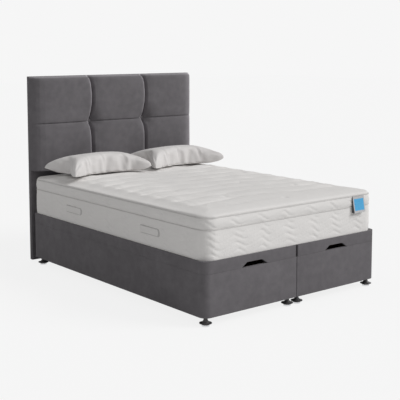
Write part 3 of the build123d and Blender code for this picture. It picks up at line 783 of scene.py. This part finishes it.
def press_buttons(height, x, z):
    """Press the pads in at the two buttons and fold their cloth round them."""
    for side in (-1, 1):
        over_x, over_z = x - side * pad_column_seam, z - row_seam
        reach = np.hypot(over_x, over_z)
        turn = np.arctan2(over_z, over_x)
        height = height * (1 - button_dip * np.exp(-(reach / button_dip_radius) ** 2))
        folds = np.cos(button_folds * turn + side * (1 + 9 * reach)) * np.exp(-(reach / fold_reach))
        folds = folds * np.clip(reach / fold_start, 0, 1)
        height = height + fold_height * folds * np.clip(height, 0, 1)
    return height


def pad_height(x, z):
    """How far the pads stand off the board, from seams, edges, buttons and the lie of the cloth."""
    edge = steps(half_board - abs(x), side_edge)
    row = steps(abs(z - row_seam), row_dip)
    height = press_buttons(edge * row * top_slope(x, z) * seam_slope(x, z), x, z)
    sag = pad_sag * ripple(x, z, (1.7, 0.9, 0.3), (-1.1, 2.3, 1.1), (3.1, -1.9, 2.0), (0.6, 4.2, 0.7))
    dimples = pad_dimples * ripple(x, z, (7.1, 3.2, 0.3), (-4.4, 8.3, 1.1), (9.7, -6.1, 2.0),
                                   (3.2, 10.4, 0.7))
    return pad_crest * np.clip(height + (sag + dimples) * np.clip(height, 0, 1) ** 2, 0.02, 1.06)


def seam_bow(x, z):
    """How far the pads bulge to the right over the column seams above the row seam."""
    near_seam = np.exp(-(column_distance(x) / seam_bow_width) ** 2)
    return seam_bow_depth * steps(row_share(z), seam_bow_run) * near_seam


def rim_highlight_share(x, z):
    """How strongly the painted highlight brightens the pads, from 0 to 1: along their right-hand and top
    edges.
    """
    # Painted highlight: strongest at the top edge, the right outer edge and the right side of each column
    # seam
    lift = top_highlight_strength * np.exp(-((pad_top - z) / top_highlight_width) ** 2)
    lift = lift + np.exp(-(half_board - x) / side_highlight_width)
    for seam in (-pad_column_seam, pad_column_seam):
        lift = lift + np.where(x < seam, np.exp(-((seam - x) / seam_highlight_width) ** 2), 0)
    return np.clip(lift, 0, 1)


def crowd(share):
    """Bring a pad's grid lines closer together near both edges."""
    return share - edge_crowding * np.sin(2 * pi * share)


def make_pad(row, column, x_limits, z_limits):
    """One crowned pad, a patch of the pads' common face closed against the board."""
    width, height = x_limits[1] - x_limits[0], z_limits[1] - z_limits[0]
    counts = int(width / pad_face_step), int(height / pad_face_step)
    pad, across, up = start_grid(f"{row}_{column}_pad", *counts)
    x = x_limits[0] + width * crowd(across)
    z = z_limits[0] + height * crowd(up)
    set_points(pad, x + seam_bow(x, z), board_low.y - pad_height(x, z), z)
    # The painted highlight's strength on each point, read by the plush's colour
    painted_highlight = pad.data.attributes.new("painted_rim_highlight", "FLOAT", "POINT")
    painted_highlight.data.foreach_set("value", rim_highlight_share(x, z))
    close_piece(pad, back=(1, board_low.y - pad_gap))
    smooth(pad, 60)
    dress(pad, "upholstery", "root", f"headboard_pad_{row}_{column}")


def make_pads():
    columns = (("left", -half_board, -pad_column_seam), ("middle", -pad_column_seam, pad_column_seam),
               ("right", pad_column_seam, half_board))
    rows = (("lower", pad_low.z, row_seam), ("upper", row_seam, pad_top))
    for row, z_low, z_high in rows:
        for column, x_low, x_high in columns:
            make_pad(row, column, (x_low + pad_gap, x_high - pad_gap), (z_low, z_high - pad_gap))


def make_buttons():
    """Two flattened balls, covered with the headboard's cloth."""
    caps = []
    for side in (-1, 1):
        bpy.ops.mesh.primitive_uv_sphere_add(segments=32, ring_count=16, radius=button_radius)
        cap = bpy.context.active_object
        middle = Vector((side * pad_column_seam, board_low.y - button_stand, row_seam))
        x, y, z = get_points(cap).T
        set_points(cap, x + middle.x, y * button_depth / button_radius + middle.y, z + middle.z)
        caps.append(cap)
    buttons = join_pieces(caps, "covered_buttons")
    smooth(buttons, 60)
    dress(buttons, "upholstery", "root", "headboard_buttons")


wrap_headboard()
make_pads()
make_buttons()


# Mattress

border_low, border_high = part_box("mattress_border")
mattress_side = border_high.x
mattress_foot, mattress_head = border_low.y, border_high.y
underside = border_low.z
lower_seam = border_high.z
upper_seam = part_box("mattress_top_band")[1].z
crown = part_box("mattress_top_panel")[1].z
mattress_middle = (mattress_foot + mattress_head) / 2
half_length = (mattress_head - mattress_foot) / 2

# Its corners from above, anticlockwise: the way to each in x and y, its radius, and the turn it starts at
corners = ((-1, 1, outline_head_radius, pi / 2), (-1, -1, outline_foot_radius, pi),
           (1, -1, outline_foot_radius, 3 * pi / 2), (1, 1, outline_head_radius, 0))


def outline_run():
    """The outline from the head's middle and back to it, in rows of a point and its outward direction."""
    head = (0, mattress_head, 0, 1)
    rows = [head]
    for x_way, y_way, radius, start in corners:
        middle_x = (mattress_side - radius) * x_way
        middle_y = mattress_middle + (half_length - radius) * y_way
        for number in range(corner_steps + 1):
            turn = start + pi / 2 * number / corner_steps
            out_x, out_y = np.cos(turn), np.sin(turn)
            rows.append((middle_x + radius * out_x, middle_y + radius * out_y, out_x, out_y))
    return np.array(rows + [head])


run = outline_run()
run_lengths = np.concatenate([[0], np.cumsum(np.linalg.norm(np.diff(run[:, :2], axis=0), axis=1))])
girth = run_lengths[-1]


def around(distance):
    """The outline's point and outward direction at a distance round it."""
    x, y, out_x, out_y = (np.interp(distance, run_lengths, column) for column in run.T)
    length = np.hypot(out_x, out_y)
    return x, y, out_x / length, out_y / length


def quilting(distance, z):
    """Puffs between rows of zigzag stitching, from 0 on the stitching to 1 on top of a puff.

    The stitching is drawn tightest where a row runs down.
    """
    drift = ripple(distance, z, (0.9, 1, 0), (2.1, -2, 1.9))
    turn = distance / puff_length + 1.1 * z + 0.07 * drift
    turn = turn - np.floor(turn)
    rows = (z - zigzag_rise * steps(turn, zigzag)) / puff_rise + 0.12 * drift
    tight = steps(turn, stitch_tightness)
    uneven = 0.8 + 0.2 * ripple(distance, z, (7, 31, 0.4), (11, -43, 1))
    puffs = np.abs(np.sin(pi * rows)) ** 0.5
    half_rows = np.abs(np.sin(pi * (rows + 0.5))) ** 0.4
    return 1 - tight * uneven * (1 - puffs) - 0.3 * (1 - tight) * (1 - half_rows)


def wrapped_strip(name, bottom, top, rows, pull):
    """A strip round the mattress between two seams, quilted and drawn in at both."""
    strip, share, up = start_grid(name, int(girth / strip_step), rows)
    distance = share * girth
    z = bottom + (top - bottom) * up
    x, y, x_way, y_way = around(distance)
    from_seam = 1 - np.abs(2 * up - 1)
    inset = pull * (1 - from_seam) ** 2
    free = np.clip(from_seam * 3, 0, 1)
    puff = quilt_height * (quilting(distance, z) - 1) * free
    wander = strip_wander * ripple(distance, z, (0.8, 2, 0), (2.3, -4, 1.2), (4.1, 7, 2.2)) * free
    reach = strip_bulge - inset + puff + wander
    set_points(strip, x + x_way * reach, y + y_way * reach, z)
    scale_uv(strip, girth, top - bottom)
    return strip


def make_border():
    """The quilted border, with the cloth of the underside."""
    border = wrapped_strip("quilted_border", underside, lower_seam, 40, border_pull)
    merge_doubles(border)
    choose("EDGE", lambda place, way: abs(place.z - underside) < same_place and abs(way.z) < 0.1)
    bpy.ops.mesh.edge_face_add()
    turn_outwards()
    apply_modifier(border, "SOLIDIFY", thickness=border_cloth, offset=-1)
    smooth(border, 60)
    dress(border, "ticking", "left_lid", "mattress_border")


def make_band():
    """The padded band between the two seams."""
    band = wrapped_strip("quilted_top_band", lower_seam, upper_seam, 18, band_pull)
    close_piece(band)
    apply_modifier(band, "SOLIDIFY", thickness=band_padding, offset=-1)
    smooth(band, 60)
    dress(band, "ticking", "left_lid", "mattress_top_band")


def edge_distance(x, y):
    """How far a point is inside the outline, and the outward direction there."""
    radius = np.where(y < mattress_middle, outline_foot_radius, outline_head_radius)
    over_x = np.abs(x) - (mattress_side - radius)
    over_y = np.abs(y - mattress_middle) - (half_length - radius)
    out_x, out_y = np.maximum(over_x, 0), np.maximum(over_y, 0)
    reach = np.hypot(out_x, out_y)
    inner = np.minimum(np.maximum(over_x, over_y), 0)
    distance = np.maximum(radius - reach - inner, 0)
    sideways = (reach == 0) & (over_x > over_y)
    way_x = np.where(reach > 0, out_x / np.maximum(reach, 1e-9), sideways * 1.0)
    way_y = np.where(reach > 0, out_y / np.maximum(reach, 1e-9), ~sideways * 1.0)
    return distance, way_x * np.sign(x), way_y * np.sign(y - mattress_middle)


def spaced(share, length):
    """Places along a length, measured from its middle, that lie closer together near both ends."""
    near = fine_edge / length
    places = np.interp(share, (0, fine_share, 1 - fine_share, 1), (0, near, 1 - near, 1))
    return length * places - length / 2


def round_corners(x, y):
    """Move the points of a rectangle, measured from its middle, into the outline's round corners."""
    for x_way, y_way, radius, start in corners:
        flat_x, flat_y = mattress_side - radius, half_length - radius
        in_x = (x * x_way - flat_x) / radius
        in_y = (y * y_way - flat_y) / radius
        inside = (in_x > 0) & (in_y > 0)
        in_x, in_y = np.clip(in_x, 0, 1), np.clip(in_y, 0, 1)
        x = np.where(inside, x_way * (flat_x + radius * in_x * np.sqrt(1 - in_y * in_y / 2)), x)
        y = np.where(inside, y_way * (flat_y + radius * in_y * np.sqrt(1 - in_x * in_x / 2)), y)
    return x, y


def top_roll(x, y, distance, way_x):
    """How high the top stands over its seam before its relief, lower at the two foot corners."""
    foot_rise = steps(distance, rolled_edge, 2)
    side_rise = steps(distance, rolled_edge, 3)
    sideways = np.clip(1.5 * np.abs(way_x) - 0.25, 0, 1) * steps(y - mattress_foot, side_roll_run)
    rise = foot_rise + (side_rise - foot_rise) * sideways
    for way in (-1, 1):
        off_corner = np.hypot(x - way * mattress_side, y - mattress_foot)
        rise = rise * (1 - corner_sink * np.exp(-(off_corner / corner_sink_radius) ** 2))
    return rise * (crown - upper_seam) / rolled_edge_rise


def top_relief(x, y):
    """Ridges from side to side with finer ripples on them, and drawn-in tufts, all below the crown."""
    wander = 0.03 * ripple(x, y, (0.7, 0.3, 0.4), (1.3, -0.8, 1.7)) + 0.05 * x
    ridges = np.abs(np.sin(pi * (y + wander) / ridge_pitch)) ** 0.5
    uneven = 0.8 + 0.35 * ripple(x, y, (1.9, 2.6, 1), (-2.7, 3.7, 0.3), (3.9, -1.3, 2.2))
    strength = uneven * steps(mattress_side - np.abs(x), ridge_strength)
    ends = steps(np.minimum(y - mattress_foot, mattress_head - y), ridge_ends)
    ripples = np.sin(2 * pi * (y + 0.25 * x + 0.8 * wander) / ripple_pitch)
    ripples = ripples * (0.5 + 0.5 * ripple(x, y, (4.1, 2.3, 0.2), (-3.3, 5.9, 1.4), (6.2, 1.7, 2.5)))
    relief = strength * ends * (ridge_depth * (ridges - 1) + ripple_depth * (ripples - 1))
    for tuft_x, tuft_y in tufts:
        reach = (x - tuft_x) ** 2 + (y - tuft_y) ** 2
        relief = relief - tuft_depth * np.exp(-reach / tuft_radius ** 2)
    return relief


def make_top_panel():
    """The pillow top: a rolled edge, then soft ridges that run from side to side."""
    panel, across, along = start_grid("pillow_top_panel", 200, 250)
    x, y = round_corners(spaced(across, 2 * mattress_side), spaced(along, 2 * half_length))
    y = y + mattress_middle
    distance, way_x, way_y = edge_distance(x, y)
    shift = np.where(distance < roll_width, distance - steps(distance, rolled_edge), 0)
    z = upper_seam + top_roll(x, y, distance, way_x) + top_relief(x, y)
    set_points(panel, x + way_x * shift, y + way_y * shift, z)
    scale_uv(panel, 2 * mattress_side, 2 * half_length)
    close_piece(panel, back=(2, upper_seam))
    smooth(panel, 60)
    dress(panel, "ticking", "left_lid", "mattress_top_panel")


def make_piping():
    """Two cloth-covered cords, one on each seam."""
    rings = []
    for level, inset in ((lower_seam, border_pull), (upper_seam, band_pull)):
        ring, share, turn = start_grid("piping", int(girth / strip_step), 12)
        x, y, x_way, y_way = around(share * girth)
        reach = -inset + piping_radius * (piping_stand - np.cos(2 * pi * turn))
        z = level - piping_radius * np.sin(2 * pi * turn)
        set_points(ring, x + x_way * reach, y + y_way * reach, z)
        scale_uv(ring, girth, 2 * pi * piping_radius)
        rings.append(ring)
    piping = join_pieces(rings, "seam_piping")
    close_piece(piping)
    smooth(piping, 80)
    dress(piping, "ticking", "left_lid", "mattress_piping", finish=piping_finish)


def make_strap(side, middle_y, middle_z):
    """One flat sewn strap, round at its foot end."""
    strap, along, up = start_grid("strap", 44, 16)
    across = 2 * up - 1
    rounding = handle_width / 2 * (1 - np.sqrt(np.clip(1 - across ** 2, 0, 1)))
    head = handle_length / 2 - rounding * 0.15
    foot = -handle_length / 2 + rounding
    y = foot + (head - foot) * along
    z = across * handle_width / 2
    from_edge = np.minimum(np.minimum(head - y, y - foot), handle_width / 2 - np.abs(z))
    x = side * (mattress_side + steps(from_edge, strap_height) - strap_sunk)
    set_points(strap, x, middle_y + y, z + middle_z)
    scale_uv(strap, handle_length, handle_width)
    close_piece(strap, back=(0, side * (mattress_side - strap_root)))
    return strap


def make_handles():
    """Two straps on each long side."""
    low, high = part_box("mattress_handles")
    middle_z = (low.z + high.z) / 2
    straps = []
    for side in (-1, 1):
        for middle_y in (low.y + handle_length / 2, high.y - handle_length / 2):
            straps.append(make_strap(side, middle_y, middle_z))
    handles = join_pieces(straps, "side_handles")
    smooth(handles, 60)
    dress(handles, "ticking", "left_lid", "mattress_handles", finish=strap_finish)


def make_label():
    """A bare cloth tag hanging from the upper seam, its free end lifted and its left side turned back."""
    low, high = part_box("mattress_label")
    tag, across, up = start_grid("sewn_tag", 30, 22)
    lift = label_stand + label_lift * (1 - up) ** 1.3 * (0.9 + 0.1 * np.cos(3 * across + 0.4))
    returned = np.clip(1 - across / label_return, 0, 1)
    face = np.clip((across - label_return) / (1 - label_return), 0, 1)
    x = low.x + (high.x - low.x) * face - label_turn * returned
    y = high.y - label_gap - lift * (1 - returned) - label_thickness * returned
    set_points(tag, x, y, low.z + (high.z - low.z) * up)
    apply_modifier(tag, "SOLIDIFY", thickness=label_thickness, offset=-1)
    smooth(tag, 60)
    dress(tag, "label_cloth", "left_lid", "mattress_label")


make_border()
make_band()
make_top_panel()
make_piping()
make_handles()
make_label()


# Pillows

def flat_cover(name, size, seed):
    """A flat closed cover, a little larger than its pillow and slightly uneven."""
    cover, across, along = start_grid(name, 84, 54)
    x = (across - 0.5) * size.x * cover_growth
    y = (along - 0.5) * size.y * cover_growth
    pinch = cover_pinch * ripple(x, y, (9, 4, seed), (-5, 11, seed * 2), (14, -8, 1))
    set_points(cover, x, y + pinch * 0.4, pinch)
    bpy.ops.object.mode_set(mode="EDIT")
    bpy.ops.mesh.select_all(action="SELECT")
    bpy.ops.mesh.extrude_region_move(TRANSFORM_OT_translate={"value": (0, 0, cover_thickness)})
    turn_outwards()
    return cover


def swell(cover):
    """Blow a closed cover up from inside with a cloth simulation and keep the result."""
    pick_out(cover)
    cloth = cover.modifiers.new("Cloth", "CLOTH")
    for name, setting in swell_settings.items():
        setattr(cloth.settings, name, setting)
    cloth.settings.effector_weights.gravity = 0
    for number in range(1, swell_frames + 1):
        bpy.context.scene.frame_set(number)
    bpy.ops.object.modifier_apply(modifier=cloth.name)
    bpy.context.scene.frame_set(1)


def pillow_folds(across, along, size, seed):
    """Folds that start at the front seam and fans of finer ones at its corners, at most about 1 high."""
    folds = 0
    for place, lean, reach in pillow_creases:
        off = (across - place - lean * along) / crease_width
        crease = 0.7 * np.exp(-(off - 1.7) ** 2) - np.exp(-off ** 2)
        folds = folds + crease * np.clip(1 - along / reach, 0, 1)
    for from_end in (across, 1 - across):
        reach = np.hypot(from_end * size.x, along * size.y)
        fan = np.sin(corner_creases * np.arctan2(along * size.y, from_end * size.x) + seed)
        folds = folds + fan * np.exp(-reach / corner_crease_reach) * np.clip(reach / crease_start, 0, 1)
    return folds


def make_pillow(half, seed, stretch):
    """A sewn pillow: a flat closed cover blown up, fitted to its place and flattened where it lies."""
    low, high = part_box(f"{half}_pillow")
    size = high - low
    pillow = flat_cover(f"{half}_cotton_pillow", size, seed)
    swell(pillow)
    apply_modifier(pillow, "SMOOTH", factor=0.5, iterations=18)
    spots = get_points(pillow)
    least, most = spots.min(axis=0), spots.max(axis=0)
    across, along, up = ((spots - least) / (most - least)).T
    from_middle = 2 * np.abs(across - 0.5)
    from_seam = 2 * up - 1
    above = np.clip(from_seam, 0, 1) ** (0.58 - 0.08 * from_middle ** 3)
    below = steps(-from_seam, pillow_underside)
    seam = 0.1 + 0.14 * np.clip(along * 1.6, 0, 1)
    tip_lift = from_middle ** 8 * (0.004 + 0.03 * across) * np.clip(2 * up, 0, 1)
    folds = crease_depth * pillow_folds(across, along, size, seed) * np.clip(4 * from_seam, 0, 1)
    x = (low.x + high.x) / 2 + size.x * (across - 0.5) * stretch
    y = low.y + size.y * along - folds
    z = low.z + size.z * (seam + (1 - seam) * above - seam * below) + tip_lift + folds
    set_points(pillow, x, y, z)
    apply_modifier(pillow, "SUBSURF", levels=1, render_levels=1)
    smooth(pillow, 80)
    dress(pillow, "pillow_cotton", "left_lid", f"{half}_pillow")


make_pillow("left", seed=0.7, stretch=0.995)
make_pillow("right", seed=2.1, stretch=0.95)


# The CAD's own nodes

for row in frame["record"]["subparts"]:
    node = nodes[row["node"]]
    if not node.material_slots:
        node.data.materials.append(None)
    for holder in node.material_slots:
        holder.material = finishes[row["material_slot"]]


# Floor, surroundings, light and camera

def make_floor():
    bpy.ops.mesh.primitive_plane_add(size=floor_size)
    floor = bpy.context.active_object
    floor.name = "floor"
    pale = new_finish("pale_floor")
    lit = pale.node("BsdfDiffuse", {}, {"Color": shade_of(white, floor_shade)})
    glow = pale.node("Emission", {}, {"Color": shade_of(white, floor_glow), "Strength": 1})
    mixed = pale.node("MixShader", {}, {0: pale.direct_view() * floor_evenness, 1: lit, 2: glow})
    pale.node("OutputMaterial", {}, {"Surface": mixed})
    floor.data.materials.append(pale.owner)


def make_surroundings():
    world = bpy.data.worlds.new("studio")
    bpy.context.scene.world = world
    sky = Finish(world)
    soft = sky.node("Background", {}, {"Color": shade_of(white, 1), "Strength": sky_strength})
    backdrop = sky.node("Background", {}, {"Color": shade_of(white, backdrop_glow), "Strength": 1})
    mixed = sky.node("MixShader", {}, {0: sky.direct_view(), 1: soft, 2: backdrop})
    sky.node("OutputWorld", {}, {"Surface": mixed})


def make_light():
    bpy.ops.object.light_add(type="SUN", location=sun_place)
    sun = bpy.context.active_object
    sun.name = "soft_lamp"
    sun.data.energy = sun_energy
    sun.data.angle = sun_width
    sun.rotation_euler = Vector(sun_direction).to_track_quat("Z", "Y").to_euler()


def make_camera():
    bpy.ops.object.camera_add(location=camera_place, rotation=(pi / 2 - camera_dip, 0, camera_turn))
    camera = bpy.context.active_object
    camera.data.lens = camera_lens
    camera.data.sensor_width = camera_sensor
    camera.data.shift_y = camera_shift
    bpy.context.scene.camera = camera
    bpy.context.scene.view_settings.view_transform = "Standard"


make_floor()
make_surroundings()
make_light()
make_camera()
